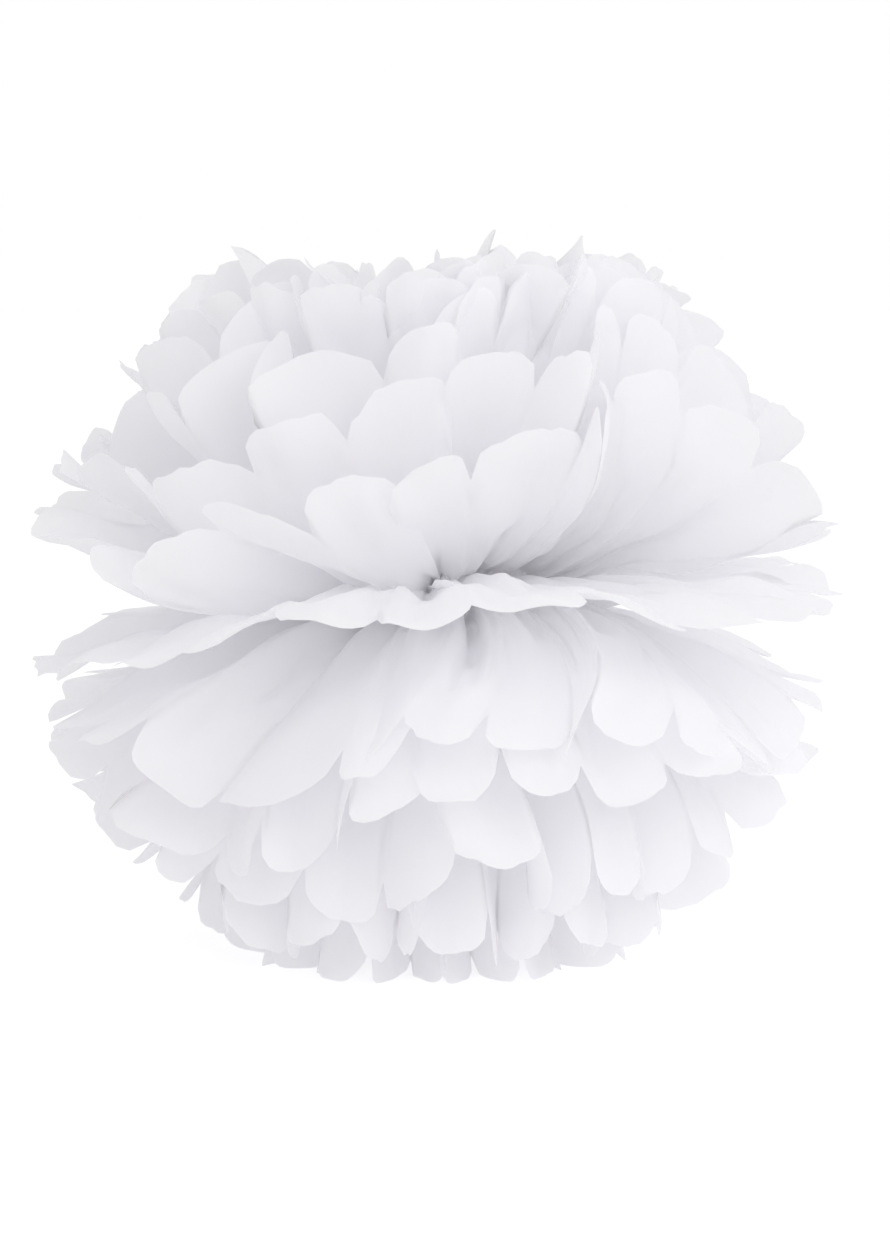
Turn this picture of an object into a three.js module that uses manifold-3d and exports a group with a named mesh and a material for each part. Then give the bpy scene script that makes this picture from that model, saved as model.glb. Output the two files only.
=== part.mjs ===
// Tissue paper pom pom: a stack of tissue sheets, pleated together into a strip, tied round the middle
// with a wire, its ends cut round, and then fanned out and pulled apart sheet by sheet into a ball.
//
// Millimetres, +Z up. X runs along the pleated strip, Y across the stack of pleats, and Z is the way that
// the sheets are pulled apart. The origin is under the ball's middle, at the height of its lowest petals.

import * as THREE from "three";
import { mergeVertices } from "three/addons/utils/BufferGeometryUtils.js";
import Module from "manifold-3d";

// ---------- driving dimensions ----------

const SHEET_WIDTH = 500; // the side that is pleated
const SHEET_LENGTH = 350; // from petal tip to petal tip, through the tie
const PLEAT_COUNT = 13;
const PLEAT_WIDTH = SHEET_WIDTH / PLEAT_COUNT;
const SCALLOP_DEPTH = 18; // from a petal's tip back to the notch at its fold
const SHEET_THICKNESS = 0.4; // drawn thickness, measured across the pleated surface

const NECK_WIDTH = 10; // of the gathered middle, where the wire holds it
const NECK_PITCH = 1.1; // from sheet to sheet inside the wire
const NECK_HALF_LENGTH = 3; // the stretch under the wire, before the pleats flare
const BEND_LENGTH = 22; // over which a sheet turns from the bundle to its own lift
const GATHER_LENGTH = 34; // over which a squeezed pleat opens to its full depth

const WIRE_RADIUS = 0.5;
const WIRE_CLEARANCE = 0.4;
const TWIST_LENGTH = 12;
const TWIST_TURNS = 2.5;
const EYE_RADIUS = 2.2; // to the middle of the wire

// How far each sheet is pulled up or down, in degrees, from the top one to the bottom one, and how much
// its petals lean back from that towards their tips.
const LIFTS = [66, 57, 47, 36, 25, 13, 2, -10, -22, -34, -46, -59];
const LEANS = [-40, -32, -20, -10, -4, -2, 0, 1, 2, 3, 3, 0];
const GATHERED_FAN = 83; // degrees to each side of the strip, where the fans leave the wire
const WIDEST_FAN = 90; // and at the petals' tips, where the paper is wide enough
const WIDTH_IN_USE = 0.98; // the most of its width that a pleat can give to the fan
const OPENING_SPREAD = 0.35; // how unevenly the pleats open, as a share of an even opening
const SHEET_OPENING_SPREAD = 0.12; // how much one sheet's pleats open differently from another's
const PETAL_SPREAD = 2.5; // degrees that a petal stands off its neighbours at the tip
const PETAL_ROUNDNESS = 2.4; // 2 cuts the petals' ends as ellipses, and more makes them squarer
const STEEPEST_DEPTH = 1.2; // the most that a pleat's depth can be, as a share of its radius

const FOLD_LENGTH = SHEET_LENGTH / 2 - NECK_HALF_LENGTH - SCALLOP_DEPTH;
const ROW_SHARES = [0, 0.09, 0.24, 0.48, 0.74, 1]; // rows of vertices along a fold, from the neck outwards
const PETAL_STEPS = [0.06, 0.24, 0.5, 0.76, 0.94]; // points round a petal's end, across the pleat
const MERIDIAN_STEP = 4; // for adding up a sheet's curve

const radians = THREE.MathUtils.degToRad;
const smooth = (x) => THREE.MathUtils.smoothstep(x, 0, 1);

// A repeatable number from -1 to 1 for any pair of numbers.
function scatter(a, b) {
  const s = Math.sin(a * 12.9898 + b * 78.233 + 1) * 43758.5453;
  return 2 * (s - Math.floor(s)) - 1;
}

// ---------- one pleated sheet ----------

// The azimuths of one fan's folds, from the front edge to the back edge, in radians from the strip's line.
// The pleats open unevenly in the same way in every sheet near the tie, because they were folded together.
function foldAzimuths(sheet, side, share) {
  const openings = [];
  for (let j = 0; j < PLEAT_COUNT; j++) {
    const together = OPENING_SPREAD * scatter(7 * side, j);
    const alone = SHEET_OPENING_SPREAD * scatter(sheet.index + 20 * side, j) * share * share;
    openings.push(1 + together + alone);
  }
  const total = openings.reduce((a, b) => a + b);
  const fan = THREE.MathUtils.lerp(radians(GATHERED_FAN), sheet.fan, share * share);
  const azimuths = [-fan];
  for (const opening of openings) azimuths.push(azimuths.at(-1) + (2 * fan * opening) / total);
  return azimuths;
}

// Where a sheet's middle surface is at a distance out from the neck, as a radius, a height and a slope.
function meridian(sheet, side, fold, distance) {
  const reach = FOLD_LENGTH + SCALLOP_DEPTH;
  const own = sheet.lean + PETAL_SPREAD * scatter(sheet.index + 40 * side, fold);
  const slopeAt = (d) => radians(sheet.lift) * smooth(d / BEND_LENGTH) + radians(own) * (d / reach) ** 2;
  const steps = Math.max(1, Math.ceil(distance / MERIDIAN_STEP));
  const step = distance / steps;
  let radius = 0;
  let height = sheet.neckHeight;
  for (let i = 0; i < steps; i++) {
    const slope = slopeAt((i + 0.5) * step);
    radius += Math.cos(slope) * step;
    height += Math.sin(slope) * step;
  }
  return { radius, height, slope: slopeAt(distance) };
}

// How far two folds stand apart across the sheet, for a pleat that spans this much of the fan.
function pleatDepth(radius, span, distance) {
  const chord = Math.min(radius * span, WIDTH_IN_USE * PLEAT_WIDTH);
  const full = Math.sqrt(PLEAT_WIDTH ** 2 - chord ** 2);
  return Math.min(full, STEEPEST_DEPTH * radius) * smooth(distance / GATHER_LENGTH);
}

// A point of a sheet: side is -1 for the left fan and 1 for the right, fold may lie between two folds.
function sheetPoint(sheet, side, fold, distance) {
  const share = distance / (FOLD_LENGTH + SCALLOP_DEPTH);
  const azimuths = foldAzimuths(sheet, side, share);
  const near = Math.min(Math.floor(fold), PLEAT_COUNT - 1);
  const across = fold - near;
  const ends = [near, near + 1].map((j) => {
    const at = meridian(sheet, side, j, distance);
    const before = j > 0 ? azimuths[j] - azimuths[j - 1] : azimuths[1] - azimuths[0];
    const after = j < PLEAT_COUNT ? azimuths[j + 1] - azimuths[j] : before;
    const depth = (pleatDepth(at.radius, before, distance) + pleatDepth(at.radius, after, distance)) / 4;
    const relief = j % 2 ? depth : -depth;
    const ray = new THREE.Vector3(side * Math.cos(azimuths[j]), Math.sin(azimuths[j]), 0);
    const normal = ray.clone().multiplyScalar(-Math.sin(at.slope)).setZ(Math.cos(at.slope));
    const point = ray.multiplyScalar(at.radius).setZ(at.height).addScaledVector(normal, relief);
    point.x += side * NECK_HALF_LENGTH;
    point.y += (j / PLEAT_COUNT - 0.5) * NECK_WIDTH;
    return { point, normal };
  });
  return {
    point: ends[0].point.lerp(ends[1].point, across),
    normal: ends[0].normal.lerp(ends[1].normal, across).normalize(),
  };
}

// The distance from the neck to the cut edge: round petals, with a notch at every fold.
function cutDistance(fold) {
  const across = 2 * (fold - Math.floor(fold)) - 1;
  return FOLD_LENGTH + SCALLOP_DEPTH * Math.sqrt(1 - Math.abs(across) ** PETAL_ROUNDNESS);
}

// A sheet as one closed solid: rows of vertices along the folds, petals at both ends, and a rim all round.
function sheetGeometry(sheet) {
  const positions = [];
  const triangles = [];
  const halfThickness = SHEET_THICKNESS / 2;

  // Adds a vertex on the upper face and its twin on the lower face, and gives the upper one's number.
  function addPair({ point, normal }) {
    for (const sign of [1, -1]) {
      positions.push(...point.clone().addScaledVector(normal, sign * halfThickness).toArray());
    }
    return positions.length / 3 - 2;
  }

  // A triangle of the upper face, counterclockwise from above, with its twin underneath.
  function addFace(a, b, c) {
    triangles.push(a, b, c, a + 1, c + 1, b + 1);
  }

  function addRim(a, b) {
    triangles.push(a, a + 1, b + 1, a, b + 1, b);
  }

  // One row of vertices across the sheet, with one vertex at each fold.
  function addRow(side, distance) {
    return Array.from({ length: PLEAT_COUNT + 1 }, (_, j) => addPair(sheetPoint(sheet, side, j, distance)));
  }

  const left = ROW_SHARES.map((share) => addRow(-1, share * FOLD_LENGTH));
  const right = ROW_SHARES.map((share) => addRow(1, share * FOLD_LENGTH));
  const grid = [...left.reverse(), ...right];

  for (let i = 0; i + 1 < grid.length; i++) {
    for (let j = 0; j < PLEAT_COUNT; j++) {
      addFace(grid[i][j], grid[i + 1][j], grid[i + 1][j + 1]);
      addFace(grid[i][j], grid[i + 1][j + 1], grid[i][j + 1]);
    }
    addRim(grid[i][0], grid[i + 1][0]);
    addRim(grid[i + 1][PLEAT_COUNT], grid[i][PLEAT_COUNT]);
  }

  for (const side of [-1, 1]) {
    const last = side < 0 ? grid[0] : grid.at(-1);
    for (let j = 0; j < PLEAT_COUNT; j++) {
      const end = PETAL_STEPS.map((t) => addPair(sheetPoint(sheet, side, j + t, cutDistance(j + t))));
      const outline = [last[j], ...end, last[j + 1]];
      if (side < 0) outline.reverse();
      for (let i = 1; i + 1 < outline.length; i++) addFace(outline[0], outline[i], outline[i + 1]);
      for (let i = 0; i + 1 < outline.length; i++) addRim(outline[i], outline[i + 1]);
    }
  }

  const geometry = new THREE.BufferGeometry();
  geometry.setAttribute("position", new THREE.Float32BufferAttribute(positions, 3));
  geometry.setIndex(triangles);
  geometry.computeVertexNormals();
  return geometry;
}

function tissueSheet(index) {
  const leanSlope = radians(LIFTS[index] + LEANS[index] / 2);
  const rimRadius = (SHEET_LENGTH / 2) * Math.cos(leanSlope);
  const sheet = {
    index,
    lift: LIFTS[index],
    lean: LEANS[index],
    neckHeight: ((LIFTS.length - 1) / 2 - index) * NECK_PITCH,
    fan: Math.min(radians(WIDEST_FAN), (WIDTH_IN_USE * SHEET_WIDTH) / 2 / rimRadius),
  };
  const mesh = new THREE.Mesh(sheetGeometry(sheet), tissue);
  mesh.name = `tissue_sheet_${String(index + 1).padStart(2, "0")}`;
  return mesh;
}

// ---------- the wire tie ----------

// The wire's two ends as one bar with a two-lobed section, turned round and round itself.
function twistGeometry() {
  const offset = 0.9 * WIRE_RADIUS;
  const opening = Math.acos(offset / WIRE_RADIUS);
  const section = new THREE.Shape();
  section.absarc(offset, 0, WIRE_RADIUS, opening - Math.PI, Math.PI - opening, false);
  section.absarc(-offset, 0, WIRE_RADIUS, opening, 2 * Math.PI - opening, false);
  const bar = new THREE.ExtrudeGeometry(section, {
    depth: TWIST_LENGTH,
    steps: 24,
    curveSegments: 4,
    bevelEnabled: false,
  });

  const position = bar.attributes.position;
  const point = new THREE.Vector3();
  for (let i = 0; i < position.count; i++) {
    point.fromBufferAttribute(position, i);
    const angle = (point.z / TWIST_LENGTH) * TWIST_TURNS * 2 * Math.PI;
    const x = point.x * Math.cos(angle) - point.y * Math.sin(angle);
    const y = point.x * Math.sin(angle) + point.y * Math.cos(angle);
    position.setXYZ(i, x, y, point.z);
  }
  return bar;
}

// One wire: a ring round the bundle, its two ends twisted together above it, and an eye for a thread.
function tieGeometry(wasm) {
  const bundleRadius = Math.hypot(NECK_WIDTH, LIFTS.length * NECK_PITCH) / 2;
  const ringRadius = bundleRadius + WIRE_CLEARANCE + WIRE_RADIUS;
  const eyeHeight = ringRadius + TWIST_LENGTH + EYE_RADIUS;
  const ring = new THREE.TorusGeometry(ringRadius, WIRE_RADIUS, 6, 36);
  const eye = new THREE.TorusGeometry(EYE_RADIUS, WIRE_RADIUS, 6, 20);
  const twist = twistGeometry().translate(0, 0, ringRadius);
  ring.rotateY(Math.PI / 2);
  eye.rotateY(Math.PI / 2).translate(0, 0, eyeHeight);

  function solid(geometry) {
    geometry.deleteAttribute("normal");
    geometry.deleteAttribute("uv");
    const merged = mergeVertices(geometry, 1e-3);
    const vertProperties = merged.attributes.position.array;
    const triVerts = new Uint32Array(merged.index.array);
    return new wasm.Manifold(new wasm.Mesh({ numProp: 3, vertProperties, triVerts }));
  }

  const wire = solid(ring).add(solid(twist)).add(solid(eye)).getMesh();
  const geometry = new THREE.BufferGeometry();
  geometry.setAttribute("position", new THREE.Float32BufferAttribute(wire.vertProperties, wire.numProp));
  geometry.setIndex(Array.from(wire.triVerts));
  geometry.computeVertexNormals();
  return geometry;
}

// ---------- the pom pom ----------

const tissue = new THREE.MeshStandardMaterial({
  color: 0xf3f2f7,
  roughness: 0.9,
  metalness: 0,
  side: THREE.DoubleSide,
});
const paperCoveredWire = new THREE.MeshStandardMaterial({ color: 0xe9e7e4, roughness: 0.8, metalness: 0 });

const wasm = await Module();
wasm.setup();

const pomPom = new THREE.Group();
LIFTS.forEach((_, index) => pomPom.add(tissueSheet(index)));

const tie = new THREE.Mesh(tieGeometry(wasm), paperCoveredWire);
tie.name = "tie_wire";
pomPom.add(tie);

// Stand the ball on its lowest petals, with the origin under the middle of its box.
const box = new THREE.Box3().setFromObject(pomPom, true);
const middle = box.getCenter(new THREE.Vector3());
pomPom.position.set(-middle.x, -middle.y, -box.min.z);

export default pomPom;
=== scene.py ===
import math

import bpy
import numpy as np
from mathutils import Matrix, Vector


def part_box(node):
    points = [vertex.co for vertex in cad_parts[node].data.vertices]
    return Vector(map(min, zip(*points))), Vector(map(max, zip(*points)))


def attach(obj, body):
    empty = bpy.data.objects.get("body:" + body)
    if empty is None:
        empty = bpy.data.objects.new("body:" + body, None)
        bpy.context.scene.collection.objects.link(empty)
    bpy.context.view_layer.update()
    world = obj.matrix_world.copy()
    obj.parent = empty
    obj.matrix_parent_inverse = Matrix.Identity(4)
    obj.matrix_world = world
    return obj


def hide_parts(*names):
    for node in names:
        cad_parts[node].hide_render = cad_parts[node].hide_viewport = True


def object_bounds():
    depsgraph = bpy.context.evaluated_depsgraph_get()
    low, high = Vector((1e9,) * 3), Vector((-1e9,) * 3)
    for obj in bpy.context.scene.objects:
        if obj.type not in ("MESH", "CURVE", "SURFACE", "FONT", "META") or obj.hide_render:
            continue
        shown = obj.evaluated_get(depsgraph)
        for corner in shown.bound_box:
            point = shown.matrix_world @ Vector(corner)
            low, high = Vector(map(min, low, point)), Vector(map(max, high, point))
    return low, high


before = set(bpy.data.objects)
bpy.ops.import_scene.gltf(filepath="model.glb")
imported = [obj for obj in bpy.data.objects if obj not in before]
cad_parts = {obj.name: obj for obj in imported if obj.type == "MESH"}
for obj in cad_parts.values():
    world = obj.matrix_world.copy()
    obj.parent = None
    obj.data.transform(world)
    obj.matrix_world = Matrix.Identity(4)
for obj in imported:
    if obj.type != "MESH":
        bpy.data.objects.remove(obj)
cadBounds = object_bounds()
scene = bpy.context.scene
print("frame loaded")


# Small helpers

def smooth(x):
    x = np.clip(x, 0.0, 1.0)
    return x * x * (3 - 2 * x)


def mixed(first, second, share):
    return first + (second - first) * share


def scatter(a, b):  # a repeatable number from -1 to 1 for any pair of numbers
    noise = math.sin(a * 12.9898 + b * 78.233 + 1) * 43758.5453
    return 2 * (noise - math.floor(noise)) - 1


def chance(index, side, what, count):  # such a number for every petal of a fan
    return np.array([scatter(index + 20 * side + 7 * what, petal + 3.1 * what) for petal in range(count)])


# The paper: how the sheets were cut, pleated and tied

paper = {
    "sheetWidth": 0.500,       # the side that is pleated
    "sheetLength": 0.350,      # from petal tip to petal tip, through the tie
    "pleats": 13,
    "scallop": 0.019,          # from a petal's tip back to the notch at its fold
    "petalRoundness": (1.9, 3.0),  # from a pointed petal to a square one
    "lopsided": 0.45,          # how far a petal's tip can lie off its middle
    "neckPitch": 0.0011,       # from sheet to sheet inside the wire
    "neckWidth": 0.010,
    "neckHalfLength": 0.003,
    "columnsPerPleat": 12,
    "rowsPerFan": 64,
    "rowSpread": 1.1,          # above 1 the rows lie closer together near the tie
    "sharpTo": 0.8,            # the share of their length over which the folds stay sharp
    "touchHeight": 0.006,      # below this the petals that meet the floor bend along it
    "seed": 7,
}
pleatWidth = paper["sheetWidth"] / paper["pleats"]
reach = paper["sheetLength"] / 2 - paper["neckHalfLength"]

# How each sheet is pulled open, from the top one down, with all angles in degrees.
# left and right: the fan's first folds, placed one by one from the front edge round. Each says how far the
#   fold's end turns away from the front, how high it rises and, where a petal curves on its own, its bow.
# side and back: the lift of the other folds, which follow evenly, at the left, the right and the back.
# bow: how much steeper than its chord a petal is at its tip, in front and further round.
# crumpled: the share of its length that a petal loses to crumples further round.
# pleated: how much of the pleats' depth is left in the placed folds where they leave the tie.
# spring: how much higher than all this the squeezed paper leaves the tie in front.
sheetShapes = [
    {"left": [(-12, 54), (4, 58)],
     "right": [(-4, 52), (14, 57)],
     "side": (55, 57), "back": 55, "bow": (-10, -40), "crumpled": 0.04, "pleated": 0.7, "spring": 0},
    {"left": [(-6, 52), (12, 50), (20, 55), (30, 51), (42, 47)],
     "right": [(0, 62, 30), (2, 50), (20, 57), (34, 53), (46, 57)],
     "side": (47, 52), "back": 46, "bow": (10, -12), "crumpled": 0.05, "pleated": 0.7, "spring": 0},
    {"left": [(-11, 50), (9, 50), (30, 46), (37, 55), (44, 39), (64, 33)],
     "right": [(5, 47), (18, 53), (38, 56), (58, 52)],
     "side": (36, 45), "back": 38, "bow": (22, 8), "crumpled": 0.07, "pleated": 0.5, "spring": 0},
    {"left": [(-6, 43), (10, 40), (31, 28), (33, 46), (44, 27)],
     "right": [(-2, 43), (16, 49), (32, 57), (46, 53), (60, 46)],
     "side": (24, 31), "back": 32, "bow": (28, 14), "crumpled": 0.07, "pleated": 0.4, "spring": 0},
    {"left": [(-3, 35), (16, 30), (32, 22), (45, 14), (58, 21)],
     "right": [(2, 35), (22, 39), (28, 33), (39, 47), (46, 46), (58, 39), (71, 28), (82, 20)],
     "side": (16, 19), "back": 23, "bow": (34, 10), "crumpled": 0.02, "pleated": 0.3, "spring": 0},
    {"left": [(7, 22, 32), (20, 15, 30), (36, 15, 10), (45, 3, 24), (58, 10, 8)],
     "right": [(-7, 19, 18), (5, 23, 24), (28, 30, 36), (25, 25, 28), (39, 39, 52), (53, 34, 46),
               (62, 22, 26), (74, 12, 8), (88, 7)],
     "side": (11, 7), "back": 12, "bow": (20, 4), "crumpled": 0.0, "pleated": 0.2, "spring": 0},
    {"left": [(-6, 6, -14), (8, 4, -18), (23, 4, -12), (38, -2), (54, -5), (70, -7)],
     "right": [(7, 6, -16), (23, 7, -16), (41, 2, -18), (53, 2, -16), (68, 2), (82, 3)],
     "side": (-8, 2), "back": 1, "bow": (-14, -4), "crumpled": 0.0, "pleated": 0.05, "spring": 4},
    {"left": [(5, -12, -24), (15, -16, -26), (43, -26, -26), (52, -13, -12), (67, -17, -8), (82, -15)],
     "right": [(-11, -15, -24), (-7, -10, -22), (5, -10, -22), (19, -14, -26), (18, -8, -20),
               (34, -11, -20), (57, -20, -24), (64, -20, -16), (70, -13, -8)],
     "side": (-15, -12), "back": -10, "bow": (-6, -4), "crumpled": 0.0, "pleated": 0.15, "spring": 22},
    {"left": [(2, -20), (14, -21), (16, -31), (30, -29)],
     "right": [(-3, -19), (10, -15), (24, -19), (41, -21)],
     "side": (-25, -22), "back": -22, "bow": (-22, -6), "crumpled": 0.0, "pleated": 0.3, "spring": 20},
    {"left": [(-4, -28), (11, -42), (26, -38)],
     "right": [(2, -27), (20, -30), (23, -48), (26, -32), (40, -35), (44, -43), (50, -33)],
     "side": (-35, -34), "back": -34, "bow": (-20, -6), "crumpled": 0.02, "pleated": 0.4, "spring": 16},
    {"left": [(3, -43), (10, -53), (17, -42), (33, -45), (38, -56), (44, -42)],
     "right": [(-6, -46), (11, -43), (17, -56), (24, -42), (40, -47), (46, -57), (51, -44)],
     "side": (-46, -46), "back": -46, "bow": (-14, -6), "crumpled": 0.02, "pleated": 0.5, "spring": 10},
    {"left": [(-4, -57), (9, -66), (16, -55), (36, -59), (42, -66), (50, -55)],
     "right": [(2, -56), (15, -65), (22, -53), (40, -60), (47, -66), (54, -54)],
     "side": (-58, -58), "back": -59, "bow": (-8, -4), "crumpled": 0.02, "pleated": 0.5, "spring": 4},
]

fans = {
    "rootFan": 95,             # degrees to each side of the strip, where the fans leave the tie
    "backTurn": 185,           # where the last fold ends, so the fans close at the back
    "backStep": 1.5,           # how much the right fan rises over the left one there
    "gatherLength": 0.036,     # over which a squeezed pleat opens to its full depth
    "bendLength": 0.016,       # over which a sheet turns out of the tie
    "springLength": 0.090,     # over which a sheet loses its spring
    "closing": (0.004, 0.016),  # where past the wire the two halves come together again
    "unevenness": (0.16, 0.50),  # of the folds that follow by themselves, in a flat sheet and a steep one
    "steepest": 1.05,          # the most that a pleat's depth can be, as a share of its distance out
    "wander": 2.0,             # degrees that such a fold rises or drops on its own
    "flatTo": 10,              # a sheet lifted less than this counts as flat
    "steepFrom": 30,           # and one lifted more than this as steep
    "turnDelay": 1.5,          # above 1 the folds turn to their places later on their way out
    "reliefFrom": (0.25, 0.85),  # where on its way out a fold goes from the pleats' depth to its own place
    "stretched": 0.985,        # the most of its width that a pleat can be pulled open
}


def steepness(lift):
    return float(smooth((abs(lift) - fans["flatTo"]) / (fans["steepFrom"] - fans["flatTo"])))


def foldEnds(index, side):
    # Where every fold of a fan ends: its turn from the front, its rise, its bow and its spring in degrees,
    # and the share of its length that it keeps.
    count = paper["pleats"]
    shape = sheetShapes[index]
    placed = shape["left"] if side < 0 else shape["right"]
    sideLift = shape["side"][0 if side < 0 else 1]
    backLift = shape["back"] + side * fans["backStep"]
    frontBow, farBow = shape["bow"]
    ends = [(*fold, frontBow)[:3] + (shape["spring"], 1) for fold in placed]
    lastTurn = placed[-1][0]
    lastRise = np.mean([fold[1] for fold in placed[-2:]])
    turnLeft = fans["backTurn"] - lastTurn
    steep = steepness(sideLift)
    uneven = mixed(*fans["unevenness"], steep)
    gaps = [1 + uneven * scatter(index + 20 * side, fold) for fold in range(len(placed), count + 1)]
    flatPetal = 2 * math.degrees(math.asin(0.5 * pleatWidth / (reach - paper["scallop"] / 2)))
    reached = 0
    up = 1 if len(placed) < 2 or placed[-2][1] > placed[-1][1] else -1
    for fold, gap in zip(range(len(placed), count + 1), gaps):
        reached += gap
        turn = lastTurn + turnLeft * reached / sum(gaps)
        toSide = float(smooth((turn - lastTurn) / max(80 - lastTurn, 1)))
        toBack = float(smooth((turn - 90) / 90))
        lift = mixed(lastRise, sideLift, toSide) if turn < 90 else mixed(sideLift, backLift, toBack)
        wide = turnLeft * gap / sum(gaps) * math.cos(math.radians(lift))
        relief = 0.5 * math.sqrt(max(flatPetal ** 2 - wide ** 2, 2))
        wander = fans["wander"] * (0.6 + steep) * scatter(index + 40 * side, fold)
        bow = mixed(frontBow, farBow, toSide)
        spring = shape["spring"] * (1 - toSide)
        ends.append((turn, lift + up * relief + wander, bow, spring, 1 - shape["crumpled"] * toSide))
        up = -up
    return np.array(ends, float)


def foldCurves(lift, bow, spring, keeps):
    # The curve of every fold in its own upright plane, corrected until its end has the lift asked for:
    # how far along it is, how far out, how high and how steep.
    steps = 60
    along = np.linspace(0, reach, steps + 1)
    half = (along[1:] + along[:-1])[:, None] / 2
    bent = bow * (1.5 * (half / reach) ** 2 - 0.5) + spring * (1 - smooth(half / fans["springLength"]))
    step = keeps * reach / steps
    notch = int(steps * (1 - paper["scallop"] / reach))
    start = np.zeros((1, len(lift)))
    aimed = lift.copy()
    for _ in range(3):
        slope = (aimed + bent) * smooth(half / fans["bendLength"])
        out = np.vstack([start, np.cumsum(np.cos(slope) * step, axis=0)])
        height = np.vstack([start, np.cumsum(np.sin(slope) * step, axis=0)])
        aimed += lift - np.arctan2(height[notch], out[notch])
    slope = np.vstack([start, (slope[1:] + slope[:-1]) / 2, slope[-1:]])
    return along, out, height, slope


petals = {
    "cup": 0.0030,             # how far a petal's middle stands off the line between its folds
    "ridge": (0.5, 0.28),      # where across a petal its cup is highest, and how far that strays
    "gathers": 0.0034,         # depth of the lengthwise wrinkles in a petal that is pulled out flat
    "gatherCount": (1.3, 0.7),  # how many of them there are, and how far that strays
    "gathersFade": (0.35, 0.95),  # how far out they begin and end to fade
    "fineGathersFrom": 0.008,  # the fine gathers beside the tie reach their full depth here
    "gatheredTo": (0.20, 0.46),  # how far out they begin and end to open
    "trough": (7, 1, 1),       # the sheet, side and petal with a trough pressed down its middle
    "troughDepth": 0.010,
    "troughPlace": (0.36, 0.78),  # its two sides across the petal
    "troughEdge": 0.08,        # how wide each of them slopes
    "troughEnd": (0.6, 0.9),   # how far out it begins and ends to fade
    "curl": (5.0, 18.0),       # degrees that a petal's end bends by itself, in a flat sheet and a steep one
    "curlFrom": 0.6,           # how far out the bend begins
    "curlArm": 0.2,            # the share of the petal's reach that the bend swings
    "placedFreedom": 0.3,      # how much of that the placed petals do
}


def cutLine(index, side, folds, stray):
    # How far from the neck the cut edge is, for every column across the sheet.
    count = paper["pleats"]
    petal = np.minimum(np.floor(folds), count - 1).astype(int)
    across = 2 * (folds - np.floor(folds)) - 1
    across = across + (paper["lopsided"] * chance(index, side, 1, count))[petal] * (1 - across ** 2)
    roundness = mixed(*paper["petalRoundness"], 0.5 + 0.5 * chance(index, side, 2, count))[petal]
    full = np.sqrt(np.clip(1 - np.abs(across) ** roundness, 0, 1))
    return reach + stray - paper["scallop"] * (1 - full)


def troughShare(across, share):
    # How deep the trough is at a place across a petal and out along it, from 0 to 1.
    first, last = petals["troughPlace"]
    fadeFrom, fadeTo = petals["troughEnd"]
    edge = petals["troughEdge"]
    pressed = smooth((across - first) / edge) * smooth((last - across) / edge)
    return pressed * smooth(share * 4) * (1 - smooth((share - fadeFrom) / (fadeTo - fadeFrom)))


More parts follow.
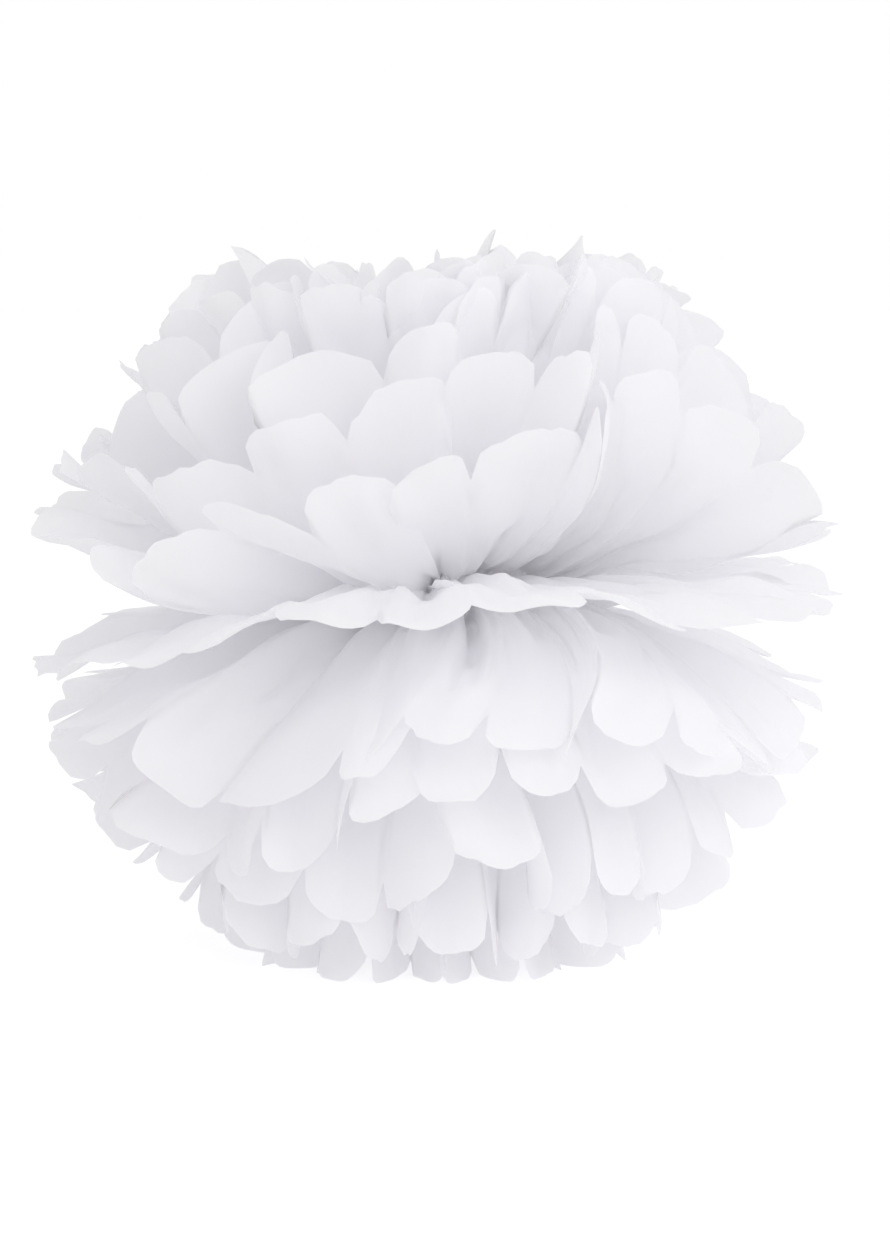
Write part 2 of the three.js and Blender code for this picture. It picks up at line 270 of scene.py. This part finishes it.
def fanSurface(index, side, cut):
    # One fan as a grid of points, rows from the neck outwards, columns from the front edge to the back
    # edge, with the direction and distance out for the wrinkles of every point.
    count = paper["pleats"]
    perPleat = paper["columnsPerPleat"]
    ends = foldEnds(index, side)
    turn, rise, bow, spring = np.radians(ends[:, :4]).T
    shape = sheetShapes[index]
    placed = len(shape["left"] if side < 0 else shape["right"])
    pleated = mixed(shape["pleated"], 1, smooth((np.arange(count + 1) - placed + 1) / 2))
    steep = steepness(shape["side"][0])
    curls = np.radians(mixed(*petals["curl"], steep) * chance(index, side, 3, count))
    cups = petals["cup"] * chance(index, side, 4, count)
    ridge, ridgeStray = petals["ridge"]
    ridges = ridge + ridgeStray * chance(index, side, 5, count)
    gatherCount, countStray = petals["gatherCount"]
    cycles = gatherCount + countStray * chance(index, side, 6, count)
    phases = chance(index, side, 7, count)

    distance = np.linspace(0, 1, paper["rowsPerFan"] + 1)[:, None] ** paper["rowSpread"] * cut[None, :]

    # The sheet's middle surface follows the folds' ends smoothly, and the folds stand off it.
    padded = np.concatenate([rise[:1], rise, rise[-1:]])
    lift = (padded[:-2] + 2 * padded[1:-1] + padded[2:]) / 4
    stand = rise - lift
    alternate = np.where(np.arange(count + 1) % 2 == 0, 1, -1)
    alternate = alternate * (1 if (stand * alternate).sum() > 0 else -1)
    rootTurn = np.pi / 2 + np.radians(fans["rootFan"]) * np.linspace(-1, 1, count + 1)
    along, out, height, slope = foldCurves(lift, bow, spring, ends[:, 4])
    closingFrom, closingTo = fans["closing"]
    reliefFrom, reliefTo = fans["reliefFrom"]
    fadeFrom, fadeTo = petals["gathersFade"]
    gatheredFrom, gatheredTo = petals["gatheredTo"]

    def foldAt(fold, far):
        # The place and the upward normal of one fold at some distances from the neck
        share = far / reach
        turns = mixed(rootTurn, turn, (share ** fans["turnDelay"])[..., None])
        outwards = np.interp(far, along, out[:, fold])
        upwards = np.interp(far, along, height[:, fold])
        tilt = np.interp(far, along, slope[:, fold])
        beside = [max(fold - 1, 0), min(fold, count - 1)]
        chord = outwards[..., None] * np.abs(np.diff(turns, axis=-1))[..., beside]
        depth = np.sqrt(pleatWidth ** 2 - np.minimum(chord, fans["stretched"] * pleatWidth) ** 2)
        fromTie = np.hypot(outwards, upwards)
        depth = np.minimum(depth, fans["steepest"] * fromTie[..., None]).mean(axis=-1)
        inner = pleated[fold] * alternate[fold] * depth / 2 * smooth(far / fans["gatherLength"])
        toOwn = smooth((share - reliefFrom) / (reliefTo - reliefFrom))
        relief = mixed(inner, np.tan(stand[fold]) * fromTie, toOwn)
        heading = turns[..., fold]
        ray = np.stack([side * np.sin(heading), -np.cos(heading)], axis=-1)
        normal = np.concatenate([-np.sin(tilt)[..., None] * ray, np.cos(tilt)[..., None]], axis=-1)
        point = np.concatenate([outwards[..., None] * ray, upwards[..., None]], axis=-1)
        point += relief[..., None] * normal
        apart = 1 - smooth((far - closingFrom) / (closingTo - closingFrom))
        point[..., 0] += side * paper["neckHalfLength"] * apart
        point[..., 1] += (fold / count - 0.5) * paper["neckWidth"]
        point[..., 2] += ((len(sheetShapes) - 1) / 2 - index) * paper["neckPitch"]
        return point, normal

    points = np.zeros(distance.shape + (3,))
    normals = np.zeros_like(points)
    for petal in range(count):
        columns = slice(petal * perPleat, (petal + 1) * perPleat + 1)
        far = distance[:, columns]
        share = (far / reach)[..., None]
        across = np.linspace(0, 1, perPleat + 1)[None, :, None]
        middle = np.sin(np.pi * across)
        start, startNormal = foldAt(petal, far)
        end, endNormal = foldAt(petal + 1, far)
        normal = mixed(startNormal, endNormal, across)
        normal /= np.linalg.norm(normal, axis=-1, keepdims=True)

        tent = np.minimum(across / ridges[petal], (1 - across) / (1 - ridges[petal]))
        bulge = cups[petal] * (tent + middle) / 2 * smooth(share * 1.5)
        wave = 4 * np.abs((cycles[petal] * across + phases[petal]) % 1 - 0.5) - 1
        fading = smooth(far[..., None] / fans["gatherLength"])
        fading = fading * (1 - smooth((share - fadeFrom) / (fadeTo - fadeFrom)))
        bulge = bulge + (1 - pleated[petal]) * petals["gathers"] * wave * np.sqrt(middle) * fading

        # Beside the tie the paper that has no room lies in fine gathers, the same in every sheet
        room = np.linalg.norm(end - start, axis=-1, keepdims=True) / pleatWidth
        spare = np.sqrt(np.clip(1 - room ** 2, 0, 1)) * pleatWidth / perPleat / 2
        upDown = np.where(np.arange(perPleat + 1) % 2 == 0, -1, 1) * (middle[0, :, 0] > 0.01)
        opening = smooth((share - gatheredFrom) / (gatheredTo - gatheredFrom))
        starting = smooth(far[..., None] / petals["fineGathersFrom"])
        bulge = bulge + upDown[None, :, None] * spare * (1 - opening) * starting
        if (index, side, petal) == petals["trough"]:
            bulge = bulge - petals["troughDepth"] * troughShare(across, share)
        tip = np.clip((share - petals["curlFrom"]) / (1 - petals["curlFrom"]), 0, 1)
        freedom = petals["placedFreedom"] if petal < placed else 1
        bend = freedom * curls[petal] * petals["curlArm"] * reach * tip ** 2 * (0.4 + 0.6 * middle)
        points[:, columns] = mixed(start, end, across) + normal * (bulge + bend)
        normals[:, columns] = normal

    # A petal squeezed between two close folds keeps few wrinkles
    wide = np.hypot(np.diff(turn) * np.cos(lift[1:]), np.diff(rise)) * reach / pleatWidth
    room = np.concatenate([[1], np.clip(wide, 0, 1), [1]]) ** 2
    folds = np.linspace(0, count, count * perPleat + 1)
    petal = np.minimum(np.floor(folds), count - 1).astype(int)
    atFolds = np.interp(folds, np.arange(count + 1), np.minimum(room[:-1], room[1:]))
    calm = mixed(atFolds, room[petal + 1], np.sin(np.pi * (folds - np.floor(folds))))
    return points, normals * calm[None, :, None], distance


wrinkling = {
    "fine": 14,                # wrinkles that run out from the tie
    "fineDepth": 0.0012,
    "fineLength": (0.005, 0.014),
    "fineReach": 0.05,         # how far out they go
    "fineDrift": 0.25,         # how far they can lean from straight out
    "slow": 10,                # slow waves near the tips
    "slowDepth": 0.0016,
    "slowLength": (0.03, 0.08),
    "slowFrom": 0.08,
    "sharp": 9,                # sharp creases, mostly along the petals, each only here and there
    "sharpDepth": 0.0011,
    "sharpLength": (0.022, 0.060),
    "sharpFrom": 0.05,
    "sharpLean": 0.5,          # how far they usually lean from straight out
    "ragged": 8,               # waves in the cut edge
    "raggedDepth": 0.0009,
    "raggedLength": (0.007, 0.030),
}


def wrinkles(rng, distance, folds):
    along = folds[None, :] * pleatWidth
    result = np.zeros_like(distance)
    for _ in range(wrinkling["fine"]):
        wave = 2 * np.pi / rng.uniform(*wrinkling["fineLength"])
        drift = rng.uniform(-wrinkling["fineDrift"], wrinkling["fineDrift"]) * wave
        ripple = np.sin(wave * along + drift * distance + rng.uniform(0, 2 * np.pi))
        result += wrinkling["fineDepth"] / 4 * ripple * np.exp(-distance / wrinkling["fineReach"])
    for _ in range(wrinkling["slow"]):
        wave = 2 * np.pi / rng.uniform(*wrinkling["slowLength"])
        heading = rng.uniform(0, np.pi)
        phase = rng.uniform(0, 2 * np.pi)
        swell = np.sin(wave * (along * np.cos(heading) + distance * np.sin(heading)) + phase)
        result += wrinkling["slowDepth"] / 3 * swell * smooth(distance / wrinkling["slowFrom"])
    for _ in range(wrinkling["sharp"]):
        wave = 2 * np.pi / rng.uniform(*wrinkling["sharpLength"])
        heading = rng.normal(0, wrinkling["sharpLean"])
        across = along * np.cos(heading) + distance * np.sin(heading)
        bend = 0.5 * np.sin(rng.uniform(20, 60) * distance + rng.uniform(0, 6))
        ridge = np.arcsin(0.985 * np.sin(wave * across + bend + rng.uniform(0, 6))) * 2 / np.pi
        spread = rng.uniform(25, 70) * along + rng.uniform(-30, 30) * distance + rng.uniform(0, 6)
        patches = smooth(0.5 + 0.9 * np.sin(spread)) * smooth(distance / wrinkling["sharpFrom"])
        result += wrinkling["sharpDepth"] * ridge * patches
    return result


def raggedCut(rng, folds):  # how far the cut edge strays, for every column
    result = np.zeros_like(folds)
    for _ in range(wrinkling["ragged"]):
        wave = 2 * np.pi / rng.uniform(*wrinkling["raggedLength"])
        result += np.sin(wave * folds * pleatWidth + rng.uniform(0, 6))
    return wrinkling["raggedDepth"] / 3 * result


def sheetMesh(index, origin):
    rng = np.random.default_rng(paper["seed"] + index)
    folds = np.linspace(0, paper["pleats"], paper["pleats"] * paper["columnsPerPleat"] + 1)
    rows = []
    flatArea = 0
    for side in (-1, 1):
        cut = cutLine(index, side, folds, raggedCut(rng, folds))
        flatArea += (cut.mean() + paper["neckHalfLength"]) * paper["sheetWidth"]
        points, normals, distance = fanSurface(index, side, cut)
        points = points + normals * wrinkles(rng, distance, folds)[..., None]
        rows.append(points[::-1] if side < 0 else points)
    grid = np.concatenate(rows) + np.array(origin)
    touch = paper["touchHeight"]
    grid[..., 2] = np.where(grid[..., 2] < touch, touch * np.exp(grid[..., 2] / touch - 1), grid[..., 2])
    height, width = grid.shape[:2]
    number = np.arange(height * width).reshape(height, width)
    corners = [number[:-1, :-1], number[1:, :-1], number[1:, 1:], number[:-1, 1:]]
    faces = np.stack(corners, axis=-1).reshape(-1, 4)
    mesh = bpy.data.meshes.new(f"paper_{index + 1:02d}")
    mesh.from_pydata(grid.reshape(-1, 3).tolist(), [], faces.tolist())
    mesh.shade_smooth()

    # The folds stay sharp, except near the petals' ends, and so do the gathers beside the tie
    ends = np.zeros(len(mesh.edges) * 2, int)
    mesh.edges.foreach_get("vertices", ends)
    row, column = np.divmod(ends.reshape(-1, 2), width)
    outwards = np.abs(row.mean(axis=1) / height * 2 - 1)
    onFold = (column[:, 0] % paper["columnsPerPleat"] == 0) & (outwards < paper["sharpTo"])
    onGather = outwards < np.mean(petals["gatheredTo"])
    creased = (column[:, 0] == column[:, 1]) & (onFold | onGather)
    sharp = mesh.attributes.new("sharp_edge", "BOOLEAN", "EDGE")
    sharp.data.foreach_set("value", creased)
    return mesh, flatArea


# Materials

class Wire:  # a socket that can be used in expressions
    def __init__(self, tree, socket):
        self.tree, self.socket = tree, socket

    def math(self, operation, first, second):
        return self.tree.add("ShaderNodeMath", {"operation": operation}, {0: first, 1: second})[0]

    def __add__(self, other):
        return self.math("ADD", self, other)

    def __radd__(self, other):
        return self.math("ADD", other, self)

    def __sub__(self, other):
        return self.math("SUBTRACT", self, other)

    def __rsub__(self, other):
        return self.math("SUBTRACT", other, self)

    def __mul__(self, other):
        return self.math("MULTIPLY", self, other)

    def __rmul__(self, other):
        return self.math("MULTIPLY", other, self)


class NodeTree:  # the nodes of a material or of the world
    def __init__(self, owner):
        owner.use_nodes = True
        self.owner = owner
        self.nodes = owner.node_tree.nodes
        self.links = owner.node_tree.links
        self.nodes.clear()

    def add(self, kind, settings=None, sockets=None):
        node = self.nodes.new(kind)
        for name, value in (settings or {}).items():
            setattr(node, name, value)
        for name, value in (sockets or {}).items():
            if isinstance(value, Wire):
                self.links.new(value.socket, node.inputs[name])
            else:
                node.inputs[name].default_value = value
        return [Wire(self, output) for output in node.outputs]

    def noise(self, place, scale, detail):
        return self.add("ShaderNodeTexNoise", {}, {"Vector": place, "Scale": scale, "Detail": detail})[0]

    def mixColours(self, share, first, second):
        return self.add("ShaderNodeMix", {"data_type": "RGBA"}, {0: share, 6: first, 7: second})[2]


tissueLook = {
    "colour": (0.976, 0.973, 0.988, 1),
    "thinColour": (0.955, 0.952, 0.968, 1),
    "lightThrough": (0.966, 0.963, 0.979, 1),  # the colour of the light that comes through
    "through": 0.50,           # share of the light that goes through to the other side
    "inner": 0.055,            # a faint painted glow that lifts the paper's shade, for the light that the last bounce leaves out
    "roughness": 0.85,
    "specular": 0.2,
    "fibre": 0.35,             # strength of the fibres' bump
    "fibreDepth": 0.0002,
    "fibreScale": 900.0,
    "cloudScale": 120.0,
}


def makeTissue():
    look = tissueLook
    tree = NodeTree(bpy.data.materials.new("white tissue"))
    place = tree.add("ShaderNodeTexCoord")[3]
    fibres = tree.noise(place, look["fibreScale"], 4.0)
    clouds = tree.noise(place, look["cloudScale"], 3.0)
    tone = tree.mixColours(clouds * 0.5 + fibres * 0.3, look["colour"], look["thinColour"])
    bump = tree.add(
        "ShaderNodeBump", {}, {"Height": fibres, "Strength": look["fibre"], "Distance": look["fibreDepth"]}
    )[0]
    front = tree.add("ShaderNodeBsdfPrincipled", {}, {
        "Base Color": tone,
        "Roughness": look["roughness"],
        "Specular IOR Level": look["specular"],
        "Normal": bump,
        # painted glow: the paper gives off a little light of its own, lifting the shade in its creases and
        # gathers
        "Emission Color": look["lightThrough"],
        "Emission Strength": look["inner"],
    })[0]
    behind = tree.add("ShaderNodeBsdfTranslucent", {}, {"Color": look["lightThrough"]})[0]
    paperShader = tree.add("ShaderNodeMixShader", {}, {0: look["through"], 1: front, 2: behind})[0]
    tree.add("ShaderNodeOutputMaterial", {}, {"Surface": paperShader})
    return tree.owner


wireLook = {
    "colour": (0.80, 0.79, 0.775, 1),
    "wornColour": (0.66, 0.65, 0.63, 1),
    "roughness": 0.8,
    "wornScale": 400.0,
    "windings": 1400.0,        # how closely the wire's paper wrapping is wound
    "windingDepth": 0.0001,
}


def makeWirePaper():
    look = wireLook
    tree = NodeTree(bpy.data.materials.new("paper covered wire"))
    place = tree.add("ShaderNodeTexCoord")[3]
    winding = tree.add("ShaderNodeTexWave", {"bands_direction": "DIAGONAL"}, {
        "Vector": place, "Scale": look["windings"], "Distortion": 1.5})[1]
    worn = tree.noise(place, look["wornScale"], 3.0)
    tone = tree.mixColours(worn * 0.6 + winding * 0.2, look["colour"], look["wornColour"])
    bump = tree.add(
        "ShaderNodeBump", {}, {"Height": winding, "Strength": 0.4, "Distance": look["windingDepth"]}
    )[0]
    cover = tree.add("ShaderNodeBsdfPrincipled", {}, {
        "Base Color": tone, "Roughness": look["roughness"], "Normal": bump})[0]
    tree.add("ShaderNodeOutputMaterial", {}, {"Surface": cover})
    return tree.owner


# The pieces

tissue = makeTissue()
wireLow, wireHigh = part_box("tie_wire")
ringCentre = (
    (wireLow[0] + wireHigh[0]) / 2,
    (wireLow[1] + wireHigh[1]) / 2,
    wireLow[2] + (wireHigh[1] - wireLow[1]) / 2,
)
print("tie at", [round(value, 5) for value in ringCentre])

for index in range(len(sheetShapes)):
    mesh, flatArea = sheetMesh(index, ringCentre)
    sheet = bpy.data.objects.new(f"paper_{index + 1:02d}", mesh)
    scene.collection.objects.link(sheet)
    mesh.materials.append(tissue)
    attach(sheet, "root")
    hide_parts(f"tissue_sheet_{index + 1:02d}")
print("sheets made")

wirePaper = makeWirePaper()
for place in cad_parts["tie_wire"].material_slots:
    place.material = wirePaper
print("tie wire finished")


# Floor, light and camera

studio = {
    "background": 1.0,
    "fill": 0.74,
    "keyStrength": 6.4,
    "keySize": 1.2,
    "keyFrom": (0.6, -1.5, 0.85),
    "rimStrength": 3.0,
    "rimSize": 1.0,
    "rimFrom": (1.5, 0.4, 0.5),
    "floorColour": 0.8,
    "floorSeen": 0.45,         # what the floor gives off to the camera, so it stays pale
    "floorGlow": 0.26,         # and to the ball
    "floorHalfWidth": 6.0,
    "cameraDistance": 1.7,
    "cameraElevation": 7.0,
    "frameWidth": 0.372,       # metres across the picture at the ball
    "tieLeft": 0.0042,         # how far the tie sits left of the picture's middle
    "tieAbove": 0.0144,        # and above it
}


def grey(level):
    return (level, level, level, 1)


def makeFloor():
    tree = NodeTree(bpy.data.materials.new("pale floor"))
    seen = tree.add("ShaderNodeLightPath")[0]
    glow = tree.mixColours(seen, grey(studio["floorGlow"]), grey(studio["floorSeen"]))
    matt = tree.add("ShaderNodeBsdfPrincipled", {}, {
        "Base Color": grey(studio["floorColour"]),
        "Roughness": 0.9,
        "Specular IOR Level": 0.1,
        "Emission Color": glow,
        "Emission Strength": 1.0,
    })[0]
    tree.add("ShaderNodeOutputMaterial", {}, {"Surface": matt})
    half = studio["floorHalfWidth"]
    mesh = bpy.data.meshes.new("floor")
    corners = [(-half, -half, 0), (half, -half, 0), (half, half, 0), (-half, half, 0)]
    mesh.from_pydata(corners, [], [(0, 1, 2, 3)])
    mesh.materials.append(tree.owner)
    floor = bpy.data.objects.new("floor", mesh)
    scene.collection.objects.link(floor)


def makeWorld():
    scene.world = bpy.data.worlds.new("studio")
    tree = NodeTree(scene.world)
    seen = tree.add("ShaderNodeLightPath")[0]
    level = tree.mixColours(seen, grey(studio["fill"]), grey(studio["background"]))
    sky = tree.add("ShaderNodeBackground", {}, {"Color": level, "Strength": 1.0})[0]
    tree.add("ShaderNodeOutputWorld", {}, {"Surface": sky})


def aimAt(thing, target):
    thing.rotation_euler = (Vector(target) - thing.location).to_track_quat("-Z", "Y").to_euler()


def addLight(name, strength, size, place, target):
    light = bpy.data.lights.new(name, "AREA")
    light.energy = strength
    light.size = size
    lamp = bpy.data.objects.new(name, light)
    scene.collection.objects.link(lamp)
    lamp.location = target + Vector(place)
    aimAt(lamp, target)


def addCamera():
    lens = bpy.data.cameras.new("camera")
    lens.sensor_fit = "HORIZONTAL"
    lens.angle_x = 2 * math.atan(studio["frameWidth"] / 2 / studio["cameraDistance"])
    camera = bpy.data.objects.new("camera", lens)
    scene.collection.objects.link(camera)
    elevation = math.radians(studio["cameraElevation"])
    target = Vector(ringCentre) + Vector((studio["tieLeft"], 0, -studio["tieAbove"] / math.cos(elevation)))
    backwards = Vector((0, -math.cos(elevation), math.sin(elevation)))
    camera.location = target + backwards * studio["cameraDistance"]
    aimAt(camera, target)
    scene.camera = camera


makeFloor()
makeWorld()
low, high = cadBounds
ballMiddle = (Vector(low) + Vector(high)) / 2
addLight("key", studio["keyStrength"], studio["keySize"], studio["keyFrom"], ballMiddle)
addLight("rim", studio["rimStrength"], studio["rimSize"], studio["rimFrom"], ballMiddle)
addCamera()
scene.view_settings.view_transform = "Standard"
scene.cycles.max_bounces = 10  # only a few layers of tissue, and the paper's painted glow lifts the shade that the missing bounces leave
scene.cycles.diffuse_bounces = 6
scene.cycles.transmission_bounces = 6

print("scene ready")
